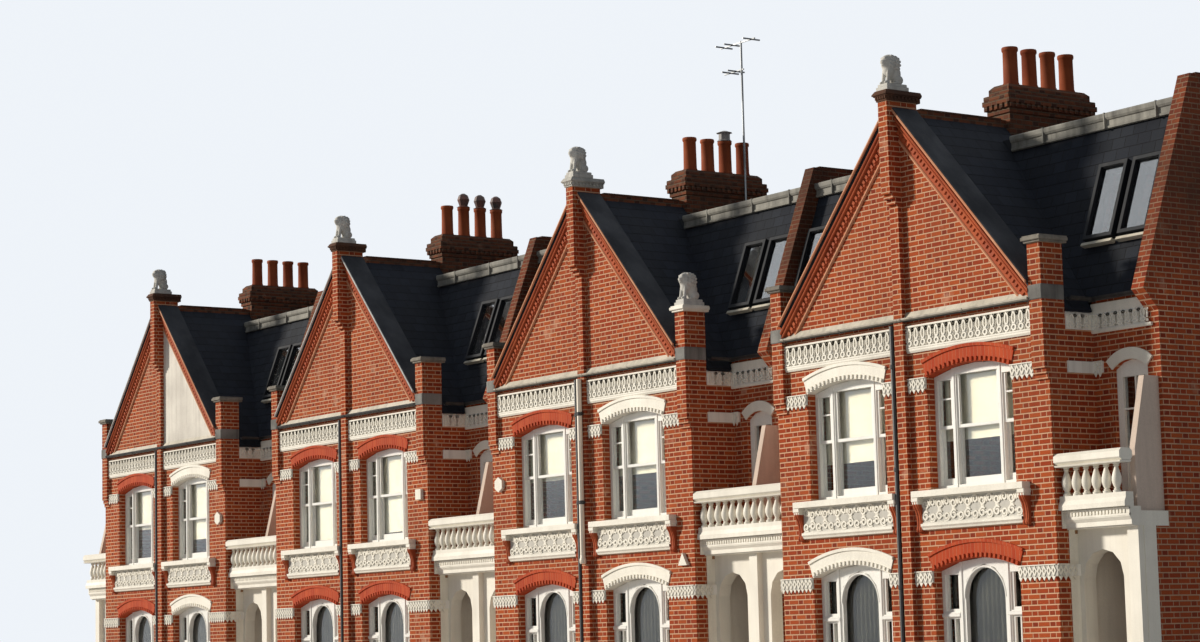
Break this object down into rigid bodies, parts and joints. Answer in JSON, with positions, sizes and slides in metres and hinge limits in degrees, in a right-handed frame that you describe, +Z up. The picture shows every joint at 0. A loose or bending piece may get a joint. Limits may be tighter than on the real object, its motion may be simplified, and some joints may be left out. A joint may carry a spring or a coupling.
{
  "type": "terraced house row",
  "caption": "Victorian terrace of red brick houses in mirrored pairs under steep front gables, with arched porches, balconies and lion finials.",
  "frame": {"origin": "on the ground at the middle of the row's plan, halfway along it and halfway between the gable fronts and the rear wall", "axes": "+X along the row, to the right as seen from the street; +Y from the street front to the rear; +Z up"},
  "size_m": [33.025, 8.966, 12.3989],
  "materials": {
    "aerial_metal": "satin",
    "alarm_plastic": "satin",
    "black_iron": "gloss paint",
    "brick": "rough",
    "concrete": "rough",
    "cowl_metal": "weathered",
    "cream_timber": "painted",
    "door_paint": "gloss paint",
    "floor_boards": "satin",
    "lead": "weathered matte",
    "pale_stone": "rough",
    "pink_render": "painted matte",
    "rubbed_brick": "matte",
    "slate": "satin",
    "stock_brick": "rough",
    "terracotta": "matte",
    "weathered_stone": "rough",
    "white_masonry": "painted matte",
    "white_timber": "gloss paint",
    "window_glass": "clear"
  },
  "bodies": {
    "root": {"alarm_boxes": "alarm_plastic", "apex_piers": "brick", "apron_brackets": "terracotta", "apron_panels": "white_masonry", "balcony_cornices": "white_masonry", "balcony_dividers": "pink_render", "balcony_doors": "white_timber", "balcony_slabs": "white_masonry", "balusters": "white_masonry", "balustrade_plinths": "white_masonry", "balustrade_rails": "white_masonry", "bay_side_walls": "brick", "centre_pilasters": "brick", "chimney_party_walls": "brick", "chimney_pots": "terracotta", "chimney_stacks": "brick", "downpipes": "black_iron", "entrance_walls": "white_masonry", "flat_roof": "lead", "friezes": "white_masonry", "front_door_frames": "white_timber", "front_doors": "door_paint", "front_windows": "white_timber", "gable_fronts": "brick", "gable_roofs": "slate", "ground_slab": "concrete", "gutters": "black_iron", "lions": "pale_stone", "mansard_slopes": "slate", "party_walls": "brick", "pier_caps": "weathered_stone", "porch_arches": "white_masonry", "porch_piers": "white_masonry", "porch_responds": "white_masonry", "porch_side_walls": "white_masonry", "pot_cowls": "cowl_metal", "rake_mouldings": "terracotta", "rear_doors": "door_paint", "rear_walls": "stock_brick", "rear_windows": "white_timber", "recess_walls": "brick", "roof_curbs": "cream_timber", "roof_window_frames": "cream_timber", "side_piers": "brick", "string_bands": "white_masonry", "tv_aerial": "aerial_metal", "upper_floors": "floor_boards", "window_arches": "rubbed_brick", "window_glass": "window_glass", "window_sills": "white_masonry"}
  },
  "joints": []
}
